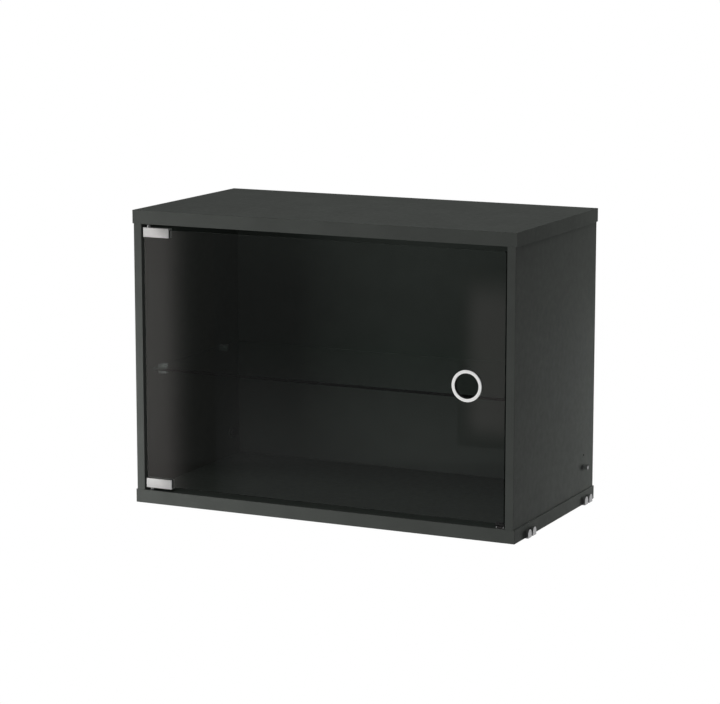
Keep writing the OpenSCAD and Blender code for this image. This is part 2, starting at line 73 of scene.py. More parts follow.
class Shader:
    """A node material under construction, with short calls for the nodes that the finishes use."""

    def __init__(self, name):
        self.material = bpy.data.materials.new(name)
        self.material.use_nodes = True
        self.tree = self.material.node_tree
        self.surface = self.tree.nodes["Principled BSDF"]
        self.output = self.tree.nodes["Material Output"]
        self.place = self.tree.nodes.new("ShaderNodeTexCoord").outputs["Object"]

    def node(self, kind, **settings):
        made = self.tree.nodes.new(kind)
        for key, value in settings.items():
            setattr(made, key, value)
        return made

    def link(self, source, target):
        self.tree.links.new(source, target)

    def set(self, **values):
        """Sets the surface's plain sockets: an underscore in a key stands for a space."""
        for key, value in values.items():
            self.surface.inputs[key.replace("_", " ")].default_value = value

    def noise(self, scale, detail=2.0, stretch=(1, 1, 1), roughness=0.5):
        """Noise with the given number of cells per metre, stretched along the row's axes."""
        mapping = self.node("ShaderNodeMapping")
        mapping.inputs["Scale"].default_value = stretch
        self.link(self.place, mapping.inputs["Vector"])
        noise = self.node("ShaderNodeTexNoise")
        noise.inputs["Scale"].default_value = scale
        noise.inputs["Detail"].default_value = detail
        noise.inputs["Roughness"].default_value = roughness
        self.link(mapping.outputs[0], noise.inputs["Vector"])
        return noise.outputs["Fac"]

    def ramp(self, factor, low, high, start=0.3, end=0.7):
        """Blends from low to high, two colours or numbers, as factor goes from start to end."""
        scaled = self.node("ShaderNodeMapRange")
        scaled.inputs["From Min"].default_value = start
        scaled.inputs["From Max"].default_value = end
        self.link(factor, scaled.inputs["Value"])
        if isinstance(low, (int, float)):
            scaled.inputs["To Min"].default_value = low
            scaled.inputs["To Max"].default_value = high
            return scaled.outputs[0]
        mix = self.node("ShaderNodeMix", data_type="RGBA")
        self.link(scaled.outputs[0], mix.inputs["Factor"])
        mix.inputs["A"].default_value = (*low, 1)
        mix.inputs["B"].default_value = (*high, 1)
        return mix.outputs["Result"]

    def product(self, a, b):
        multiply = self.node("ShaderNodeMath", operation="MULTIPLY")
        self.link(a, multiply.inputs[0])
        self.link(b, multiply.inputs[1])
        return multiply.outputs[0]

    def colour(self, socket):
        self.link(socket, self.surface.inputs["Base Color"])

    def roughness(self, socket):
        self.link(socket, self.surface.inputs["Roughness"])

    def bump(self, height, depth, below=None):
        """Bump of a depth in metres, over another bump if one is given."""
        bump = self.node("ShaderNodeBump")
        bump.inputs["Distance"].default_value = depth
        self.link(height, bump.inputs["Height"])
        if below is not None:
            self.link(below, bump.inputs["Normal"])
        self.link(bump.outputs[0], self.surface.inputs["Normal"])
        return bump.outputs[0]

    def pass_lamp_light(self, tint):
        """Lets lamps shine through a pane, which refraction alone would keep in the dark."""
        open_pane = self.node("ShaderNodeBsdfTransparent")
        open_pane.inputs["Color"].default_value = (*tint, 1)
        is_shadow = self.node("ShaderNodeLightPath").outputs["Is Shadow Ray"]
        mix = self.node("ShaderNodeMixShader")
        self.link(is_shadow, mix.inputs[0])
        self.link(self.surface.outputs[0], mix.inputs[1])
        self.link(open_pane.outputs[0], mix.inputs[2])
        self.link(mix.outputs[0], self.output.inputs["Surface"])


def case_lacquer():
    """Anthracite lacquer on board: a fine orange peel, a faint mottle and an even satin sheen."""
    s = Shader("case_lacquer")
    mottle = s.noise(28, 3)
    s.colour(s.ramp(mottle, (0.0355, 0.0385, 0.0355), (0.0405, 0.0440, 0.0405)))
    s.roughness(s.ramp(s.noise(110, 3), 0.46, 0.54))
    s.bump(s.noise(1500, 1), 0.012 * MM, s.bump(s.noise(330, 2), 0.02 * MM))
    s.set(IOR=1.48)
    return s.material


def beech():
    """Plain beech with its grain along the dowel."""
    s = Shader("beech")
    grain = s.noise(500, 3, stretch=(1, 1, 0.06))
    s.colour(s.ramp(grain, (0.46, 0.29, 0.15), (0.60, 0.42, 0.25)))
    s.roughness(s.ramp(grain, 0.75, 0.6))
    s.bump(grain, 0.05 * MM)
    return s.material


def clear_glass():
    """Float glass: clear face on, green along its edges by absorption, with faint wipe marks."""
    s = Shader("clear_glass")
    s.set(Base_Color=(0.97, 0.99, 0.98, 1), Transmission_Weight=1.0, IOR=1.5)
    s.roughness(s.ramp(s.noise(9, 4, stretch=(1, 1, 2.5)), 0.0, 0.035, 0.35, 0.75))
    body = s.node("ShaderNodeVolumeAbsorption")
    body.inputs["Color"].default_value = (0.35, 0.85, 0.62, 1)
    body.inputs["Density"].default_value = 6.0
    s.link(body.outputs[0], s.output.inputs["Volume"])
    s.pass_lamp_light((0.93, 0.95, 0.94))
    return s.material


def clear_plastic():
    """Moulded clear plastic with a milky haze and flow marks."""
    s = Shader("clear_plastic")
    s.colour(s.ramp(s.noise(600, 1), (0.86, 0.87, 0.87), (0.95, 0.96, 0.96)))
    s.set(Transmission_Weight=0.93, IOR=1.49)
    s.roughness(s.ramp(s.noise(260, 2), 0.03, 0.10))
    s.bump(s.noise(180, 2), 0.03 * MM)
    s.pass_lamp_light((0.85, 0.87, 0.87))
    return s.material


def metal(name, colour, low, high, brushed=False, depth=0.004, bare=1.0):
    """A metal whose roughness goes from low to high, with a fine grain or with brush lines along x.
    bare is below 1 where a milky anodised or blasted skin scatters part of the light."""
    s = Shader(name)
    lines = s.noise(2600, 3, stretch=(0.03, 1, 1)) if brushed else s.noise(700, 3)
    tone = s.noise(90, 2)
    dark = tuple(0.94 * c for c in colour)
    s.colour(s.ramp(s.product(lines, tone), dark, colour, 0.1, 0.4))
    s.roughness(s.ramp(lines, low, high))
    s.bump(lines, depth * MM)
    s.set(Metallic=bare)
    return s.material


def moulded(name, colour, low, high, grain=900, depth=0.02):
    """Dark moulded plastic, rubber or ferrite with a fine grain."""
    s = Shader(name)
    speckle = s.noise(grain, 2)
    light = tuple(1.35 * c for c in colour)
    s.colour(s.ramp(speckle, colour, light))
    s.roughness(s.ramp(s.noise(grain / 6, 2), low, high))
    s.bump(speckle, depth * MM)
    return s.material


FINISHES = {
    "case_lacquer": case_lacquer(),
    "beech": beech(),
    "clear_glass": clear_glass(),
    "clear_plastic": clear_plastic(),
    "satin_metal": metal("satin_metal", (0.93, 0.93, 0.92), 0.34, 0.46, brushed=True, bare=0.85),
    "ring_metal": metal("ring_metal", (0.92, 0.92, 0.91), 0.38, 0.46, depth=0.002, bare=0.3),
    "bright_metal": metal("bright_metal", (0.78, 0.78, 0.79), 0.12, 0.22),
    "spring_steel": metal("spring_steel", (0.50, 0.50, 0.51), 0.25, 0.35),
    "black_plastic": moulded("black_plastic", (0.018, 0.018, 0.018), 0.42, 0.55),
    "anthracite_plastic": moulded("anthracite_plastic", (0.034, 0.037, 0.034), 0.45, 0.55),
    "blackened_steel": moulded("blackened_steel", (0.012, 0.012, 0.012), 0.35, 0.5, 1500, 0.01),
    "black_rubber": moulded("black_rubber", (0.014, 0.014, 0.014), 0.65, 0.8, 1400),
    "ferrite": moulded("ferrite", (0.022, 0.021, 0.021), 0.5, 0.7, 600, 0.04),
}


# ---------------------------------------------------------------- mesh tools

def shape():
    return bmesh.new()


def add_block(bm, low, high):
    """A box between two corners. Returns its new faces."""
    low, high = Vector(low), Vector(high)
    made = bmesh.ops.create_cube(bm, size=1)["verts"]
    for vert in made:
        vert.co = Vector((low[i] + (vert.co[i] + 0.5) * (high[i] - low[i])) for i in range(3))
    return list({face for vert in made for face in vert.link_faces})


def block(low, high, edge=0.0, steps=3):
    """A box between two corners, whose edges are rounded to the radius edge."""
    bm = shape()
    add_block(bm, low, high)
    if edge:
        round_edges(bm, bm.edges[:], edge, steps)
    return bm


def round_edges(bm, edges, radius, steps=3):
    bmesh.ops.bevel(bm, geom=edges, offset=radius, segments=steps, profile=0.5,
                    affect="EDGES", clamp_overlap=True)


def turned(profile, start, axis, steps=48):
    """Turns a closed profile of (radius, distance) points about the line from start along axis."""
    bm = shape()
    turn = Vector((0, 0, 1)).rotation_difference(Vector(axis)).to_matrix().to_4x4()
    place = Matrix.Translation(Vector(start)) @ turn
    rings = []
    for radius, along in profile:
        if radius < NOTHING:
            rings.append([bm.verts.new(place @ Vector((0, 0, along)))])
            continue
        ring = []
        for k in range(steps):
            angle = 2 * math.pi * k / steps
            point = Vector((radius * math.cos(angle), radius * math.sin(angle), along))
            ring.append(bm.verts.new(place @ point))
        rings.append(ring)
    closed = len(rings[0]) > 1
    pairs = list(zip(rings, rings[1:] + (rings[:1] if closed else [])))
    for a, b in pairs:
        for k in range(steps):
            n = (k + 1) % steps
            corners = [a[k % len(a)], a[n % len(a)], b[n % len(b)], b[k % len(b)]]
            corners = [v for i, v in enumerate(corners) if v not in corners[:i]]
            if len(corners) > 2:
                bm.faces.new(corners)
    bmesh.ops.recalc_face_normals(bm, faces=bm.faces)
    return bm


def rod(radius, start, length, axis, edge=0.0, steps=48):
    """A round bar with both rims rounded to the radius edge."""
    profile = [(0, 0)] + rim(radius, 0, edge, 1) + rim(radius, length, edge, -1) + [(0, length)]
    return turned(profile, start, axis, steps)


def rim(radius, along, edge, inward, steps=3):
    """Profile points of a rounded rim. inward is 1 where the bar goes on to larger distances."""
    if not edge:
        return [(radius, along)]
    points = []
    for k in range(steps + 1):
        angle = math.pi / 2 * k / steps
        points.append((radius - edge + edge * math.sin(angle),
                       along + inward * edge * (1 - math.cos(angle))))
    return points if inward > 0 else points[::-1]


def tube(inner, outer, start, length, axis, edge=0.0, steps=64):
    """A round ring between two radii, with all four rims rounded to the radius edge."""
    outside = rim(outer, 0, edge, 1) + rim(outer, length, edge, -1)
    inside = [(2 * inner - r, d) for r, d in rim(inner, length, edge, -1)[::-1]]
    inside += [(2 * inner - r, d) for r, d in rim(inner, 0, edge, 1)[::-1]]
    return turned(outside + inside, start, axis, steps)


def extruded(outline, axis, start, length):
    """A prism. Its outline's points are (x, y) for axis z, (x, z) for axis y, (y, z) for axis x."""
    bm = shape()
    spots = {"x": lambda u, v, w: (w, u, v), "y": lambda u, v, w: (u, w, v),
             "z": lambda u, v, w: (u, v, w)}[axis]
    rings = [[bm.verts.new(spots(u, v, w)) for u, v in outline] for w in (start, start + length)]
    bm.faces.new(rings[0])
    bm.faces.new(rings[1])
    count = len(outline)
    for k in range(count):
        n = (k + 1) % count
        bm.faces.new((rings[0][k], rings[0][n], rings[1][n], rings[1][k]))
    bmesh.ops.recalc_face_normals(bm, faces=bm.faces)
    return bm


def arc(centre, radius, first, last, steps):
    """Points of an arc between two angles in degrees, both ends included."""
    angles = [math.radians(first + (last - first) * k / steps) for k in range(steps + 1)]
    return [(centre[0] + radius * math.cos(a), centre[1] + radius * math.sin(a)) for a in angles]


def joined(*shapes):
    """Copies several shapes into one, as separate solids of one piece."""
    bm = shape()
    for other in shapes:
        mesh = bpy.data.meshes.new("part")
        other.to_mesh(mesh)
        other.free()
        bm.from_mesh(mesh)
        bpy.data.meshes.remove(mesh)
    return bm


def on_side(bm, side):
    """Mirrors a shape made for the right onto the left, where side is -1."""
    if side < 0:
        bmesh.ops.scale(bm, vec=(-1, 1, 1), verts=bm.verts)
        bmesh.ops.reverse_faces(bm, faces=bm.faces)
    return bm


def combined(bm, others, operation):
    """The solid left after each of the other shapes is cut away or added."""
    base = bpy.data.objects.new("base", bpy.data.meshes.new("base"))
    bm.to_mesh(base.data)
    bm.free()
    scratch = [base]
    for other in others:
        tool = bpy.data.objects.new("tool", bpy.data.meshes.new("tool"))
        other.to_mesh(tool.data)
        other.free()
        scratch.append(tool)
        modifier = base.modifiers.new("tool", "BOOLEAN")
        modifier.operation = operation
        modifier.solver = "EXACT"
        modifier.object = tool
    for o in scratch:
        bpy.context.scene.collection.objects.link(o)
    graph = bpy.context.evaluated_depsgraph_get()
    result = shape()
    mesh = bpy.data.meshes.new_from_object(base.evaluated_get(graph))
    result.from_mesh(mesh)
    bpy.data.meshes.remove(mesh)
    for o in scratch:
        mesh = o.data
        bpy.data.objects.remove(o)
        bpy.data.meshes.remove(mesh)
    bmesh.ops.remove_doubles(result, verts=result.verts, dist=WELD)
    return result


def cut(bm, *tools):
    return combined(bm, tools, "DIFFERENCE")


def fused(bm, *others):
    return combined(bm, others, "UNION")


def piece(name, bm, *nodes, soften=0.0, steps=2):
    """Makes an object of the shape, which stands for the CAD nodes, rides on the first one's body and
    takes its finish. soften rounds every edge sharper than SMOOTH_ANGLE with a bevel modifier."""
    mesh = bpy.data.meshes.new(name)
    bm.to_mesh(mesh)
    bm.free()
    mesh.polygons.foreach_set("use_smooth", [True] * len(mesh.polygons))
    mesh.set_sharp_from_angle(angle=SMOOTH_ANGLE)
    made = bpy.data.objects.new(name, mesh)
    bpy.context.scene.collection.objects.link(made)
    slot = SLOT_OF[nodes[0]]
    mesh.materials.append(FINISHES[slot])
    if soften:
        bevel = made.modifiers.new("soft_edges", "BEVEL")
        bevel.width = soften
        bevel.segments = steps
        bevel.limit_method = "ANGLE"
        bevel.angle_limit = SMOOTH_ANGLE
        bevel.harden_normals = True
    else:
        made.modifiers.new("even_shading", "WEIGHTED_NORMAL").keep_sharp = True
    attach(made, BODY_OF[nodes[0]])
    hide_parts(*nodes)
    return made


# ---------------------------------------------------------------- sizes from the CAD boxes

def low(node):
    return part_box(node)[0]


def high(node):
    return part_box(node)[1]


def size(node):
    return high(node) - low(node)


HALF_W = high("top_panel").x
FRONT = low("top_panel").y
CEILING = low("top_panel").z
FLOOR = high("bottom_panel").z
SIDE_OUT = high("right_side_panel").x
SIDE_IN = low("right_side_panel").x
BOARD_EDGE = 0.4 * MM  # radius of the boards' edges
FIT_EDGE = 0.15 * MM  # arris of a bore or of the back board's edges

TONGUE = high("back_panel").x - SIDE_IN
TONGUE_T = 4 * MM
GROOVE_PLAY = 0.1 * MM
BACK_FRONT = low("back_panel").y
BACK_REAR = high("back_panel").y
TONGUE_Y = (BACK_FRONT + BACK_REAR - TONGUE_T) / 2

DOWEL_D = 6 * MM
DOWEL_X = (SIDE_IN + SIDE_OUT) / 2
DOWEL_Y = [FRONT + at * MM for at in (30, 150, 250)]
DOWEL_IN_SIDE = 18 * MM
DOWEL_IN_END = 11 * MM  # depth of the bores in the top and bottom boards
DOWEL_START = low("panel_dowels").z
DOWEL_L = FLOOR + DOWEL_IN_SIDE - DOWEL_START

PIVOT = ((low("upper_hinge_pin").x + high("upper_hinge_pin").x) / 2,
         (low("upper_hinge_pin").y + high("upper_hinge_pin").y) / 2)
PIN_R = 2.5 * MM
BUSHING_R = 4 * MM
BUSHING_BORE = 10 * MM
SET_SCREW_R = 2 * MM
GLASS_FRONT = low("door_glass").y
GLASS_BACK = high("door_glass").y
RING = ((low("finger_ring").x + high("finger_ring").x) / 2,
        (low("finger_ring").z + high("finger_ring").z) / 2)
RING_R = size("finger_ring").x / 2
RING_HOLE_R = 17.3 * MM
SLEEVE_R = RING_HOLE_R + 1.6 * MM
RING_PLAY = 0.4 * MM

CLIP_PIN_D = size("shelf_clip_pins").z
CLIP_PIN_Z = (low("shelf_clip_pins").z + high("shelf_clip_pins").z) / 2
CLIP_PIN_START = SIDE_IN - 4 * MM
CLIP_PIN_END = high("shelf_clip_pins").x

LOCK_Y = (low("lock_bush_right").y + high("lock_bush_right").y) / 2
LOCK_Z = (low("lock_bush_right").z + high("lock_bush_right").z) / 2
LOCK_BUSH_R = 6 * MM
PILOT = MOUNTS["pilot_hole_right"]
PILOT_DEPTH = 8 * MM

HOOK_BASE_T = 4 * MM
HOOK_SCREW_X = HALF_W - 13 * MM
HOOK_SCREW_Y = 9 * MM  # to each side of the notch
HOOK_SCREW_R = 2 * MM
HOOK_SCREW_L = 14 * MM
HOOK_HEAD_R = 4 * MM
HOOK_HEAD_T = 2.2 * MM
NOTCH = MOUNTS["rod_notch_right_front"]


# ---------------------------------------------------------------- case

def bushing_bore(z, direction):
    return rod(BUSHING_R, (*PIVOT, z - direction * OVERSHOOT), BUSHING_BORE + OVERSHOOT,
               (0, 0, direction), steps=64)


def board_with_groove(low_corner, high_corner, butted=False):
    """A board with rounded edges, and the shape of the back board's groove. A butted board stands
    between two others, so the edges of its two ends stay sharp and only its upright edges are
    rounded."""
    board = block(low_corner, high_corner)
    edges = [e for e in board.edges
             if not butted or abs(e.verts[0].co.z - e.verts[1].co.z) > OVERSHOOT]
    round_edges(board, edges, BOARD_EDGE)
    reach = TONGUE + GROOVE_PLAY
    groove = shape()
    add_block(groove, (-SIDE_IN - reach, TONGUE_Y - GROOVE_PLAY, FLOOR - reach),
              (SIDE_IN + reach, TONGUE_Y + TONGUE_T + GROOVE_PLAY, CEILING + reach))
    return board, groove


def dowel_bores(start, end, xs):
    """Upright bores from start to end, at each of the places xs and DOWEL_Y."""
    return [rod(DOWEL_D / 2, (x, y, start), end - start, (0, 0, 1)) for x in xs for y in DOWEL_Y]


def top_board():
    board, groove = board_with_groove(low("top_panel"), high("top_panel"))
    bores = dowel_bores(CEILING - OVERSHOOT, CEILING + DOWEL_IN_END, (-DOWEL_X, DOWEL_X))
    piece("top_board", cut(board, groove, bushing_bore(CEILING, 1), *bores), "top_panel")


def hook_centres():
    """The side, as a word and a sign, the end and the place in y of each hook."""
    for side_name, side in SIDES.items():
        for end in ("front", "rear"):
            yield side_name, side, end, MOUNTS[f"rod_notch_{side_name}_{end}"]["pos_m"][1]


def bottom_board():
    board, groove = board_with_groove(low("bottom_panel"), high("bottom_panel"))
    tools = [groove, bushing_bore(FLOOR, -1)]
    tools += dowel_bores(FLOOR - DOWEL_IN_END, FLOOR + OVERSHOOT, (-DOWEL_X, DOWEL_X))
    for node_group in (["catch_housing"], ["catch_magnet", "catch_pole_plates"]):
        corner = Vector([min(low(n)[i] for n in node_group) for i in range(3)])
        other = Vector([max(high(n)[i] for n in node_group) for i in range(3)])
        other.z = FLOOR + OVERSHOOT
        if len(node_group) > 1:
            other.y += OVERSHOOT
        tools.append(block(corner, other))
    half = size("hook_right_front").y / 2
    for _, side, _, y in hook_centres():
        pocket = block((low("hook_right_front").x, y - half, -OVERSHOOT),
                       (HALF_W + OVERSHOOT, y + half, HOOK_BASE_T))
        tools.append(on_side(pocket, side))
        for step in (-1, 1):
            bore = rod(HOOK_SCREW_R, (HOOK_SCREW_X, y + step * HOOK_SCREW_Y, 0), HOOK_SCREW_L,
                       (0, 0, 1))
            tools.append(on_side(bore, side))
    piece("bottom_board", cut(board, *tools), "bottom_panel")


def clip_places():
    """The end and the place in y of each shelf clip of one side."""
    for end in ("front", "rear"):
        node = f"shelf_clip_right_{end}"
        yield end, (low(node).y + high(node).y) / 2


def side_board(name, side):
    corner = Vector((SIDE_IN, low("right_side_panel").y, FLOOR))
    board, groove = board_with_groove(corner, high("right_side_panel"), butted=True)
    tools = [groove]
    tools += dowel_bores(FLOOR - OVERSHOOT, FLOOR + DOWEL_IN_SIDE, (DOWEL_X,))
    tools += dowel_bores(CEILING - DOWEL_IN_SIDE, CEILING + OVERSHOOT, (DOWEL_X,))
    for _, y in clip_places():
        tools.append(rod(CLIP_PIN_D / 2, (SIDE_IN - OVERSHOOT, y, CLIP_PIN_Z),
                         CLIP_PIN_END - SIDE_IN + OVERSHOOT, (1, 0, 0)))
    tools.append(rod(LOCK_BUSH_R, (SIDE_IN - OVERSHOOT, LOCK_Y, LOCK_Z),
                     SIDE_OUT - SIDE_IN + 2 * OVERSHOOT, (1, 0, 0), steps=96))
    pilot_r = PILOT["dims"]["r_mm"] * MM
    rim_r = pilot_r + FIT_EDGE
    tools.append(turned([(0, 0), (pilot_r, 0), (pilot_r, PILOT_DEPTH - FIT_EDGE),
                         (rim_r, PILOT_DEPTH), (rim_r, PILOT_DEPTH + OVERSHOOT),
                         (0, PILOT_DEPTH + OVERSHOOT)],
                        (SIDE_OUT - PILOT_DEPTH, LOCK_Y, PILOT["pos_m"][2]), (1, 0, 0)))
    piece(f"{name}_side_board", on_side(cut(board, *tools), side), f"{name}_side_panel")


def back_board():
    face = block((-SIDE_IN, BACK_FRONT, FLOOR), (SIDE_IN, BACK_REAR, CEILING), FIT_EDGE, 2)
    tongue = block((-SIDE_IN - TONGUE, TONGUE_Y, FLOOR - TONGUE),
                   (SIDE_IN + TONGUE, TONGUE_Y + TONGUE_T, CEILING + TONGUE), FIT_EDGE, 2)
    piece("back_board", fused(face, tongue), "back_panel")


def dowels():
    """Fluted dowels with chamfered ends, all in one piece as one node holds them."""
    flute_depth = 0.15 * MM
    flutes = 12
    bars = []
    for x in (-DOWEL_X, DOWEL_X):
        for y in DOWEL_Y:
            for z in (DOWEL_START, CEILING - DOWEL_IN_SIDE):
                bar = rod(DOWEL_D / 2, (x, y, z), DOWEL_L, (0, 0, 1), 0.8 * MM, steps=flutes * 4)
                for vert in bar.verts:
                    across = Vector((vert.co.x - x, vert.co.y - y))
                    if across.length > DOWEL_D * 0.49:
                        angle = math.atan2(across.y, across.x) * flutes
                        shrink = 1 - flute_depth * (0.5 - 0.5 * math.cos(angle)) / across.length
                        vert.co.x, vert.co.y = x + across.x * shrink, y + across.y * shrink
                bars.append(bar)
    piece("fluted_dowels", joined(*bars), "panel_dowels")


# ---------------------------------------------------------------- shelf

def shelf_pane():
    """Float glass with ground arrises on its edges."""
    piece("shelf_pane", block(low("glass_shelf"), high("glass_shelf"), 0.4 * MM, 2), "glass_shelf")


def shelf_clip(side_name, side, end, y):
    """A clip with a round free end. Its thick lower jaw holds the pin, and both jaws grip the
    pane."""
    node = f"shelf_clip_right_{end}"
    bottom, top = low(node).z, high(node).z
    radius = size(node).y / 2
    inner = low(node).x + radius
    outline = arc((inner, y), radius, 90, 270, 16) + [(SIDE_IN, y - radius), (SIDE_IN, y + radius)]
    body = extruded(outline, "z", bottom, top - bottom)
    rims = [e for e in body.edges if all(abs(v.co.x - SIDE_IN) > NOTHING for v in e.verts)
            and abs(e.verts[0].co.z - e.verts[1].co.z) < NOTHING]
    round_edges(body, rims, 0.5 * MM)
    mouth = block((low(node).x - OVERSHOOT, y - radius - OVERSHOOT, low("glass_shelf").z),
                  (high("glass_shelf").x, y + radius + OVERSHOOT, high("glass_shelf").z))
    bore = rod(CLIP_PIN_D / 2, (CLIP_PIN_START, y, CLIP_PIN_Z), SIDE_IN - CLIP_PIN_START + OVERSHOOT,
               (1, 0, 0))
    piece(f"clip_{side_name}_{end}", on_side(cut(body, mouth, bore), side),
          f"shelf_clip_{side_name}_{end}", soften=0.15 * MM)


def clip_pins():
    pins = []
    length = CLIP_PIN_END - CLIP_PIN_START
    for side in SIDES.values():
        for _, y in clip_places():
            pin = rod(CLIP_PIN_D / 2, (CLIP_PIN_START, y, CLIP_PIN_Z), length, (1, 0, 0), 0.4 * MM)
            pins.append(on_side(pin, side))
    piece("clip_pegs", joined(*pins), "shelf_clip_pins")


# ---------------------------------------------------------------- hinges

def hinge_bushing(name, node, z, direction):
    """A flanged bushing, whose flange stands on the board and whose barrel goes into it."""
    flange_r = size(node).x / 2
    bore = PIN_R + 0.05 * MM
    flange_t = 1 * MM
    length = size(node).z - flange_t
    edge = 0.25 * MM
    outside = turned([(0, -flange_t), (flange_r - edge, -flange_t), (flange_r, -flange_t + edge),
                      (flange_r, 0), (BUSHING_R, 0), (BUSHING_R, length), (0, length)],
                     (*PIVOT, z), (0, 0, direction), 64)
    hollow = turned([(0, -flange_t - OVERSHOOT), (bore + edge, -flange_t - OVERSHOOT),
                     (bore + edge, -flange_t), (bore, -flange_t + edge), (bore, length - flange_t),
                     (0, length - flange_t)], (*PIVOT, z), (0, 0, direction), 64)
    piece(name, cut(outside, hollow), node)


def hinge(name, web_z, direction):
    """The clamp, its liner and its pin. web_z is the web's outer face, and direction (1 or -1) points
    from there over the glass. Returns the places of the set screws."""
    clamp, liner = f"{name}_hinge_clamp", f"{name}_clamp_liner"
    start, end = low(clamp), high(clamp)
    wall = 2 * MM
    screw_x = [start.x + at * MM for at in (18, 32)]
    screw_z = web_z + direction * 7.5 * MM
    web_in = web_z + direction * wall
    far = web_z + direction * size(clamp).z

    def slab(near_corner, far_corner, edge=0.0):
        pairs = list(zip(near_corner, far_corner))
        return block([min(p) for p in pairs], [max(p) for p in pairs], edge)

    body = slab(start, end, 0.35 * MM)
    channel = slab((start.x - OVERSHOOT, low(liner).y, web_in),
                   (end.x + OVERSHOOT, high(liner).y, far + direction * OVERSHOOT))
    tools = [channel, rod(PIN_R, (*PIVOT, web_z - direction * OVERSHOOT), wall + 2 * OVERSHOOT,
                          (0, 0, direction))]
    rear_wall = end.y - high(liner).y
    tools += [rod(SET_SCREW_R, (x, high(liner).y - OVERSHOOT, screw_z), rear_wall + 2 * OVERSHOOT,
                  (0, 1, 0)) for x in screw_x]
    piece(f"{name}_glass_clamp", cut(body, *tools), clamp, soften=0.12 * MM)

    strip = slab((start.x, low(liner).y, web_in), (end.x, high(liner).y, far))
    seat = slab((start.x - OVERSHOOT, GLASS_FRONT, web_in + direction * 0.5 * MM),
                (end.x + OVERSHOOT, GLASS_BACK, far + direction * OVERSHOOT))
    piece(f"{name}_rubber_liner", cut(strip, seat), liner)

    pin = f"{name}_hinge_pin"
    reach = size(pin).z
    collar_r, collar_h = size(pin).x / 2, 2.9 * MM
    collar = reach - wall - collar_h
    tip = web_in - direction * reach
    profile = ([(0, 0)] + rim(PIN_R, 0, 0.5 * MM, 1)
               + [(PIN_R, collar)] + rim(collar_r, collar, 0.25 * MM, 1)
               + [(collar_r, reach - wall), (PIN_R, reach - wall), (PIN_R, reach), (0, reach)])
    piece(f"{name}_pivot_pin", turned(profile, (*PIVOT, tip), (0, 0, direction), 64), pin)
    return [(x, screw_z) for x in screw_x]


def hex_socket(radius, start, depth, axis):
    """A hexagon of the given corner radius, to cut a socket with."""
    return rod(radius, start, depth, axis, steps=6)


def set_screws(places):
    """Grub screws with hexagon sockets, at places given as (x, z)."""
    start_y = high("upper_clamp_liner").y
    length = size("clamp_screws").y
    socket_d = length / 2
    screws = []
    for x, z in places:
        screw = rod(SET_SCREW_R, (x, start_y, z), length, (0, 1, 0), 0.3 * MM, 48)
        socket = hex_socket(1.15 * MM, (x, start_y + length - socket_d, z), socket_d + OVERSHOOT,
                            (0, 1, 0))
        screws.append(cut(screw, socket))
    piece("set_screws", joined(*screws), "clamp_screws")


# ---------------------------------------------------------------- door

def door_pane():
    """Float glass with round corners, a drilled hole and ground arrises."""
    start, end = low("door_glass"), high("door_glass")
    radius = 2 * MM
    corners = ((end.x, end.z, 0), (start.x, end.z, 90), (start.x, start.z, 180),
               (end.x, start.z, 270))
    outline = []
    for x, z, first in corners:
        centre = (x + (radius if x < 0 else -radius), z + (radius if first > 90 else -radius))
        outline += arc(centre, radius, first, first + 90, 8)
    pane = extruded(outline, "y", start.y, end.y - start.y)
    hole = rod(SLEEVE_R + RING_PLAY, (RING[0], start.y - OVERSHOOT, RING[1]),
               end.y - start.y + 2 * OVERSHOOT, (0, 1, 0), steps=128)
    pane = cut(pane, hole)
    arris = [e for e in pane.edges if abs(e.verts[0].co.y - e.verts[1].co.y) < NOTHING
             and any(abs(f.normal.y) > 0.9 for f in e.link_faces)
             and any(abs(f.normal.y) < 0.1 for f in e.link_faces)]
    round_edges(pane, arris, 0.35 * MM, 2)
    piece("door_pane", pane, "door_glass")


def finger_pull():
    """The bright flange with its round rim, the black sleeve behind it, and the washers at the
    glass."""
    front, back = low("finger_ring").y, high("finger_ring").y
    thick = back - front
    seat = back - low("finger_sleeve").y
    edge = 0.25 * MM
    rounding = arc((thick / 2, RING_R - thick / 2), thick / 2, 180, 0, 16)
    profile = [(r, along) for along, r in rounding]
    profile += [(SLEEVE_R, thick), (SLEEVE_R, thick - seat), (RING_HOLE_R, thick - seat),
                (RING_HOLE_R, edge), (RING_HOLE_R + edge, 0)]
    piece("finger_pull", turned(profile, (RING[0], front, RING[1]), (0, 1, 0), 160), "finger_ring")

    length = size("finger_sleeve").y
    flange_t = 1.2 * MM
    profile = ([(RING_HOLE_R, 0), (SLEEVE_R, 0), (SLEEVE_R, length - flange_t)]
               + rim(RING_R, length - flange_t, edge, 1) + rim(RING_R, length, edge, -1)
               + [(RING_HOLE_R + edge, length), (RING_HOLE_R, length - edge)])
    piece("pull_sleeve", turned(profile, (RING[0], low("finger_sleeve").y, RING[1]), (0, 1, 0), 160),
          "finger_sleeve")

    washer_r, washer_t = size("ring_washers").x / 2, 0.4 * MM
    washers = [tube(SLEEVE_R + RING_PLAY, washer_r, (RING[0], y, RING[1]), washer_t, (0, 1, 0),
                    0.08 * MM, 128)
               for y in (low("ring_washers").y, high("ring_washers").y - washer_t)]
    piece("pull_washers", joined(*washers), "ring_washers")


def strike():
    """A steel angle: a plate behind the glass, and a bar under its edge that meets the poles."""
    start, end = low("catch_strike"), high("catch_strike")
    plate = block((start.x, GLASS_BACK, start.z), end)
    bar = block(start, (end.x, GLASS_BACK + (end.y - GLASS_BACK) / 2, low("door_glass").z))
    piece("strike_angle", fused(plate, bar), "catch_strike", soften=0.18 * MM)


# ---------------------------------------------------------------- catch

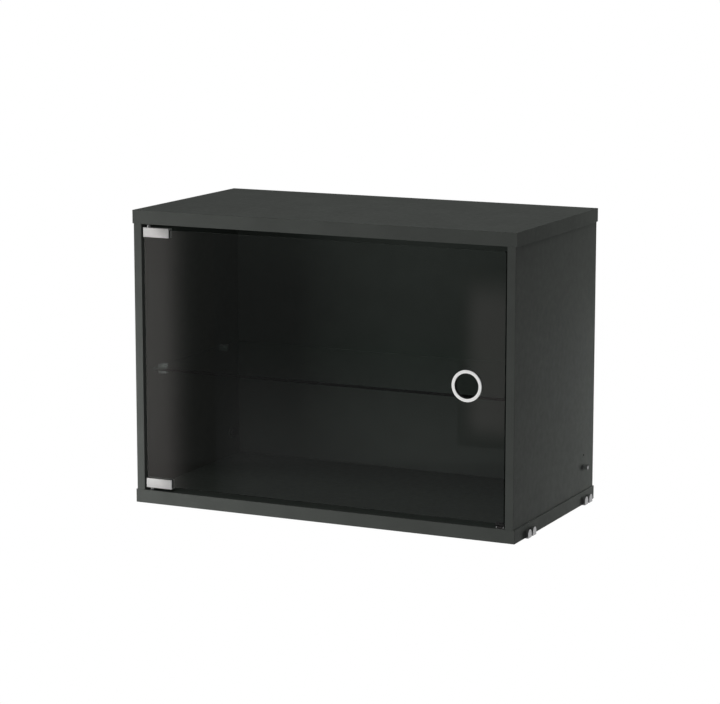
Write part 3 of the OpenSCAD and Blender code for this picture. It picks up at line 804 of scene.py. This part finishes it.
def catch():
    """A stop block for the door, and a magnet between two pole plates."""
    piece("door_stop", block(low("catch_housing"), high("catch_housing"), 0.6 * MM), "catch_housing")
    piece("magnet_block", block(low("catch_magnet"), high("catch_magnet"), 0.2 * MM), "catch_magnet")
    start, end = low("catch_pole_plates"), high("catch_pole_plates")
    pole_t = 1.5 * MM
    plates = [block((x, start.y, start.z), (x + pole_t, end.y, end.z), 0.25 * MM)
              for x in (start.x, end.x - pole_t)]
    piece("pole_plates", joined(*plates), "catch_pole_plates")


# ---------------------------------------------------------------- hooks

def hook(side_name, side, end, y):
    """A cast hook: a base let into the board, two round topped horns, and a web that seats a rod."""
    node = "hook_right_front"
    half = size(node).y / 2
    top = high(node).z
    notch_r = NOTCH["dims"]["r_mm"] * MM
    horn_w = half - notch_r
    horn_r = horn_w / 2
    notch_x = NOTCH["pos_m"][0]
    out = high(node).x
    play = 0.2 * MM
    horns = []
    for centre in (y - half + horn_r, y + half - horn_r):
        outline = (arc((centre, top - horn_r), horn_r, 0, 180, 24)
                   + [(centre - horn_r, 0), (centre + horn_r, 0)])
        horns.append(extruded(outline, "x", HALF_W, out - HALF_W))
    base = block((low(node).x, y - half, 0), (notch_x, y + half, HOOK_BASE_T))
    web = block((HALF_W, y - half + horn_r, 0), (notch_x, y + half - horn_r, top - horn_r))
    body = fused(base, web, *horns)
    tools = [rod(notch_r, (notch_x, y, -OVERSHOOT), top + 2 * OVERSHOOT, (0, 0, 1), steps=64)]
    for step in (-1, 1):
        place = (HOOK_SCREW_X, y + step * HOOK_SCREW_Y, -OVERSHOOT)
        tools.append(rod(HOOK_SCREW_R + play, place, HOOK_BASE_T + 2 * OVERSHOOT, (0, 0, 1)))
        tools.append(rod(HOOK_HEAD_R + play, place, HOOK_HEAD_T + OVERSHOOT, (0, 0, 1)))
    piece(f"hook_casting_{side_name}_{end}", on_side(cut(body, *tools), side),
          f"hook_{side_name}_{end}", soften=0.5 * MM, steps=3)


def base_screws():
    """Hook screws with flat heads and hexagon sockets, all in one piece as one node holds them."""
    screws = []
    for _, side, _, y in hook_centres():
        for step in (-1, 1):
            place = Vector((HOOK_SCREW_X, y + step * HOOK_SCREW_Y, 0))
            profile = ([(0, 0)] + rim(HOOK_HEAD_R, 0, 0.4 * MM, 1)
                       + [(HOOK_HEAD_R, HOOK_HEAD_T), (HOOK_SCREW_R, HOOK_HEAD_T),
                          (HOOK_SCREW_R, HOOK_SCREW_L - 0.8 * MM), (1.2 * MM, HOOK_SCREW_L),
                          (0, HOOK_SCREW_L)])
            screw = turned(profile, place, (0, 0, 1), 48)
            socket = hex_socket(1.7 * MM, place - Vector((0, 0, OVERSHOOT)), 1.3 * MM + OVERSHOOT,
                                (0, 0, 1))
            screws.append(on_side(cut(screw, socket), side))
    piece("base_screws", joined(*screws), "hook_screws")


# ---------------------------------------------------------------- locks

def lock(name, side):
    """A sprung locking pin: bush, ring, spring, pin and knob, turned about one line through the
    board."""
    start = (0, LOCK_Y, LOCK_Z)
    outward = (1, 0, 0)
    bush_x = low("lock_bush_right").x
    flange_r, flange_t = size("lock_bush_right").y / 2, 1.2 * MM
    chamber_r, chamber_x = 4.8 * MM, low("lock_ring_right").x - 9.6 * MM
    stem_r, edge, fit = 2 * MM, 0.4 * MM, 0.05 * MM
    bush = turned([(stem_r + fit, bush_x)] + rim(flange_r, bush_x, edge, 1)
                  + [(flange_r, bush_x + flange_t), (LOCK_BUSH_R, bush_x + flange_t),
                     (LOCK_BUSH_R, SIDE_OUT - 0.2 * MM), (LOCK_BUSH_R - 0.2 * MM, SIDE_OUT),
                     (chamber_r, SIDE_OUT), (chamber_r, chamber_x), (stem_r + fit, chamber_x)],
                  start, outward, 96)
    piece(f"lock_{name}_bush", on_side(bush, side), f"lock_bush_{name}")

    ring_x = low("lock_ring_right").x
    guide_r = 3.7 * MM
    ring = turned([(guide_r + fit, ring_x), (chamber_r, ring_x), (chamber_r, SIDE_OUT),
                   (guide_r + 0.2 * MM + fit, SIDE_OUT), (guide_r + fit, SIDE_OUT - 0.2 * MM)],
                  start, outward, 96)
    piece(f"lock_{name}_guide", on_side(ring, side), f"lock_ring_{name}")

    pin_x, pin_end = low("lock_pin_right").x, high("lock_pin_right").x
    pin_r, collar_r, collar_l = 3.5 * MM, 4.5 * MM, 1.2 * MM
    collar_x = ring_x - collar_l
    profile = ([(0, pin_x), (stem_r, pin_x), (stem_r, collar_x),
                (collar_r - 0.2 * MM, collar_x), (collar_r, collar_x + 0.2 * MM),
                (collar_r, ring_x), (guide_r, ring_x), (guide_r, SIDE_OUT - 0.2 * MM),
                (pin_r, SIDE_OUT)]
               + rim(pin_r, pin_end, 0.9 * MM, -1, 6) + [(0, pin_end)])
    piece(f"lock_{name}_bolt", on_side(turned(profile, start, outward, 96), side), f"lock_pin_{name}")

    knob_x, knob_end = low("lock_knob_right").x, high("lock_knob_right").x
    knob_r, neck_r, head_l = 6 * MM, 4.5 * MM, 4 * MM
    profile = ([(0, knob_x)] + rim(knob_r, knob_x, 0.8 * MM, 1, 5)
               + rim(knob_r, knob_x + head_l, 0.3 * MM, -1)
               + [(neck_r + 0.2 * MM, knob_x + head_l), (neck_r, knob_x + head_l + 0.2 * MM),
                  (neck_r, knob_end - 0.2 * MM), (neck_r - 0.2 * MM, knob_end), (stem_r, knob_end),
                  (stem_r, pin_x), (0, pin_x)])
    piece(f"lock_{name}_grip", on_side(turned(profile, start, outward, 96), side),
          f"lock_knob_{name}")

    spring_node = f"lock_spring_{name}"
    made = piece(f"lock_{name}_coil", on_side(coil(), side), spring_node)
    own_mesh(made)


def coil():
    """A conical spring's wire, swept round three turns from its wide inner end."""
    wire_r, wide_r, tip_r = 0.3 * MM, 4.2 * MM, 2.4 * MM
    turns, steps, sides = 3, 48, 12
    start, end = low("lock_spring_right").x + wire_r, high("lock_spring_right").x - wire_r
    bm = shape()
    rings = []
    for k in range(turns * steps + 1):
        share = k / (turns * steps)
        angle = 2 * math.pi * k / steps
        radius = wide_r + (tip_r - wide_r) * share
        ring = []
        for n in range(sides):
            a = 2 * math.pi * n / sides
            r = radius + wire_r * math.cos(a)
            ring.append(bm.verts.new((start + (end - start) * share + wire_r * math.sin(a),
                                      LOCK_Y + r * math.cos(angle), LOCK_Z + r * math.sin(angle))))
        rings.append(ring)
    for a, b in zip(rings, rings[1:]):
        for n in range(sides):
            m = (n + 1) % sides
            bm.faces.new((a[n], b[n], b[m], a[m]))
    bm.faces.new(rings[0])
    bm.faces.new(rings[-1])
    bmesh.ops.recalc_face_normals(bm, faces=bm.faces)
    return bm


# ---------------------------------------------------------------- assembly

top_board()
bottom_board()
for side_name, side in SIDES.items():
    side_board(side_name, side)
    for end, y in clip_places():
        shelf_clip(side_name, side, end, y)
    lock(side_name, side)
back_board()
dowels()
shelf_pane()
clip_pins()
hinge_bushing("upper_pivot_bushing", "upper_hinge_bushing", CEILING, 1)
hinge_bushing("lower_pivot_bushing", "lower_hinge_bushing", FLOOR, -1)
screw_places = hinge("upper", high("upper_hinge_clamp").z, -1)
screw_places += hinge("lower", low("lower_hinge_clamp").z, 1)
set_screws(screw_places)
door_pane()
finger_pull()
strike()
catch()
for side_name, side, end, y in hook_centres():
    hook(side_name, side, end, y)
base_screws()


# ---------------------------------------------------------------- studio

AIM = (0, 0, 0.2)
CARD_Y = -1.43  # the cards that the glass mirrors stand in one plane, parallel to the door
FLOOR_Z = -1.2  # the showcase hangs on a wall, well above the floor
LENS = 131.68
SENSOR = 36
CAMERA_PLACE = (1.5714, -3.3135, 0.8592)  # from a fit to the outer corners of the case
CAMERA_TILT = 9.97  # degrees down
CAMERA_TURN = 25.5  # degrees round from straight in front
BACKDROP_FAINT = 0.064  # how much light the white backdrop gives the object itself
WARM = (1.07, 1.0, 0.965)  # tint of the cards that the glass mirrors most


def around(azimuth, elevation, distance):
    """A place seen from AIM, at an azimuth in degrees to the left of straight ahead of the door."""
    a, e = math.radians(azimuth), math.radians(elevation)
    return Vector(AIM) + distance * Vector((-math.sin(a) * math.cos(e), -math.cos(a) * math.cos(e),
                                            math.sin(e)))


def area_light(name, place, width, height, power):
    """A soft light that only matt surfaces see. The cards below are what the glossy ones mirror."""
    lamp = bpy.data.lights.new(name, "AREA")
    lamp.shape = "RECTANGLE"
    lamp.size, lamp.size_y = width, height
    lamp.energy = power
    made = bpy.data.objects.new(name, lamp)
    made.location = place
    made.rotation_euler = (Vector(AIM) - Vector(place)).to_track_quat("-Z", "Y").to_euler()
    made.visible_camera = False
    made.visible_glossy = False
    made.visible_transmission = False
    bpy.context.scene.collection.objects.link(made)


def staged(name, bm, material):
    mesh = bpy.data.meshes.new(name)
    bm.to_mesh(mesh)
    bm.free()
    mesh.materials.append(material)
    made = bpy.data.objects.new(name, mesh)
    bpy.context.scene.collection.objects.link(made)
    return made


def without_bounce(tree, kind):
    """1 for a ray that hasn't yet bounced off a Diffuse or Glossy surface, and 0 after that."""
    depth = tree.nodes.new("ShaderNodeLightPath").outputs[f"{kind} Depth"]
    test = tree.nodes.new("ShaderNodeMath")
    test.operation = "LESS_THAN"
    test.inputs[1].default_value = 0.5
    tree.links.new(depth, test.inputs[0])
    return test.outputs[0]


def seen_through(tree):
    """1 where the camera sees something straight or through clear panes, and 0 in any reflection."""
    both = tree.nodes.new("ShaderNodeMath")
    both.operation = "MULTIPLY"
    for k, kind in enumerate(("Diffuse", "Glossy")):
        tree.links.new(without_bounce(tree, kind), both.inputs[k])
    return both.outputs[0]


def faded(s, axis, edge, width):
    """0 at an edge and 1 from width inwards, along an axis of the object."""
    split = s.node("ShaderNodeSeparateXYZ")
    s.link(s.place, split.inputs[0])
    fade = s.node("ShaderNodeMapRange", interpolation_type="SMOOTHSTEP")
    fade.inputs["From Min"].default_value = edge
    fade.inputs["From Max"].default_value = edge + width
    s.link(split.outputs[axis], fade.inputs["Value"])
    return fade.outputs[0]


def card(name, centre, width, height, strength, fades, turn=0, tint=(1, 1, 1), curve=1):
    """A glowing upright card that only reflections show. It stands parallel to the door and is then
    turned about its middle, in degrees. fades holds the widths over which its left, right, lower and
    upper edges fade into the backdrop, 0 for a sharp one. A curve above 1 makes the fades steep
    first, with a tail."""
    s = Shader(name)
    s.tree.nodes.remove(s.surface)
    glow = s.node("ShaderNodeEmission")
    glow.inputs["Color"].default_value = (*tint, 1)
    mirrored = s.node("ShaderNodeMath", operation="SUBTRACT")
    mirrored.inputs[0].default_value = 1
    s.link(without_bounce(s.tree, "Glossy"), mirrored.inputs[1])
    share = without_bounce(s.tree, "Diffuse")
    for k, fade in enumerate(fades):
        if fade:
            half = (width if k < 2 else height) / 2
            sign = -1 if k % 2 else 1
            share = s.product(share, faded(s, "X" if k < 2 else "Z", -sign * half, sign * fade))
    bent = s.node("ShaderNodeMath", operation="POWER")
    bent.inputs[1].default_value = curve
    s.link(share, bent.inputs[0])
    level = s.ramp(bent.outputs[0], BACKDROP_FAINT, strength, 0, 1)
    s.link(s.product(level, mirrored.outputs[0]), glow.inputs["Strength"])
    s.link(glow.outputs[0], s.output.inputs["Surface"])
    s.material.cycles.emission_sampling = "NONE"
    bm = shape()
    bm.faces.new([bm.verts.new((sx * width / 2, 0, sz * height / 2))
                  for sx, sz in ((-1, -1), (1, -1), (1, 1), (-1, 1))])
    made = staged(name, bm, s.material)
    made.location = centre
    made.rotation_euler.z = math.radians(turn)
    made.visible_camera = False
    made.visible_diffuse = False
    made.visible_shadow = False
    made.visible_transmission = False


def studio_floor():
    """A plain pale floor that fades into the white backdrop."""
    s = Shader("floor")
    s.tree.nodes.remove(s.surface)
    paint = s.node("ShaderNodeBsdfDiffuse")
    s.link(s.ramp(s.noise(3, 4), (0.80, 0.80, 0.79), (0.84, 0.84, 0.83)), paint.inputs["Color"])
    white = s.node("ShaderNodeEmission")
    s.link(seen_through(s.tree), white.inputs["Strength"])
    distance = s.node("ShaderNodeVectorMath", operation="LENGTH")
    s.link(s.place, distance.inputs[0])
    blend = s.node("ShaderNodeMixShader")
    s.link(s.ramp(distance.outputs["Value"], 0.25, 1.0, 0.9, 2.3), blend.inputs[0])
    s.link(paint.outputs[0], blend.inputs[1])
    s.link(white.outputs[0], blend.inputs[2])
    s.link(blend.outputs[0], s.output.inputs["Surface"])
    bm = shape()
    bmesh.ops.create_circle(bm, cap_ends=True, segments=96, radius=6)
    made = staged("floor", bm, s.material)
    made.location = (0, 0, FLOOR_Z)
    made.visible_glossy = False
    made.visible_diffuse = False
    s.material.cycles.emission_sampling = "NONE"


def backdrop():
    """A world that the camera sees as white, and that lights the object only faintly."""
    world = bpy.data.worlds.new("backdrop")
    bpy.context.scene.world = world
    world.use_nodes = True
    tree = world.node_tree
    faint = tree.nodes["Background"]
    faint.inputs["Color"].default_value = (1, 1, 1, 1)
    faint.inputs["Strength"].default_value = BACKDROP_FAINT
    white = tree.nodes.new("ShaderNodeBackground")
    white.inputs["Color"].default_value = (1, 1, 1, 1)
    mix = tree.nodes.new("ShaderNodeMixShader")
    tree.links.new(seen_through(tree), mix.inputs[0])
    tree.links.new(faint.outputs[0], mix.inputs[1])
    tree.links.new(white.outputs[0], mix.inputs[2])
    tree.links.new(mix.outputs[0], tree.nodes["World Output"].inputs["Surface"])


def camera():
    lens = bpy.data.cameras.new("camera")
    lens.sensor_width = SENSOR
    lens.lens = LENS
    made = bpy.data.objects.new("camera", lens)
    made.location = CAMERA_PLACE
    made.rotation_euler = (math.radians(90 - CAMERA_TILT), 0, math.radians(CAMERA_TURN))
    bpy.context.scene.collection.objects.link(made)
    bpy.context.scene.camera = made


camera()
backdrop()
studio_floor()

# lamps for the matt surfaces
area_light("key", around(42, -8, 0.9), 0.3, 0.3, 3.9)
area_light("low_left", around(65, -25, 1.1), 0.45, 0.45, 4.3)
area_light("front", around(0, 5, 2.0), 0.6, 0.6, 2.0)
area_light("front_right", around(-30, 0, 2.0), 0.6, 0.6, 5.6)
area_light("below", (0, -0.6, -1.0), 1.0, 1.0, 18.5)
area_light("top_front", (0, -1.2, 2.0), 1.0, 1.0, 18)
area_light("top_right", (0.65, 0.3, 1.9), 0.8, 0.8, 20)
area_light("top_left", (-0.6, 0.1, 1.9), 0.8, 0.8, 9)
area_light("right_side", (0.65, 0.75, 0.04), 0.3, 0.3, 11.8)

# cards that the door's glass mirrors: the band at its left, the patch at its right, the lower haze
card("card_left_band", (-1.0325, CARD_Y, 0), 0.335, 1.6, 0.81, (0, 0.125, 0, 0), tint=WARM, curve=3.2)
card("card_right_patch", (-0.254, CARD_Y, 0), 0.188, 0.34, 0.44, (0.05, 0.036, 0.057, 0.08),
     tint=WARM)
card("card_low", (-0.53, CARD_Y - 0.02, -0.23), 0.78, 0.5, 0.235, (0.13, 0.13, 0.13, 0.3))

# cards for the metal parts, which are seen from several sides
card("card_far_left", (-1.9, CARD_Y - 0.05, 0.4), 1.4, 1.6, 0.8, (0, 0.1, 0.4, 0))
card("card_low_left", (-1.9, CARD_Y - 0.05, -1.0), 1.6, 0.9, 0.4, (0, 0, 0, 0.2))
card("card_low_right", (1.7, CARD_Y, -0.7), 1.6, 1.2, 0.3, (0.2, 0, 0, 0.2))
card("card_low_rear", (0, 1.9, -0.9), 3.0, 0.9, 0.4, (0, 0.2, 0, 0.2))
card("card_right_rear", (0.815, 1.36, -0.33), 0.36, 0.32, 0.5, (0.05, 0.05, 0.05, 0.05),
     turn=-CAMERA_TURN)

view = bpy.context.scene.view_settings
view.view_transform = "Standard"
bpy.context.scene.cycles.caustics_reflective = False
bpy.context.scene.cycles.caustics_refractive = False
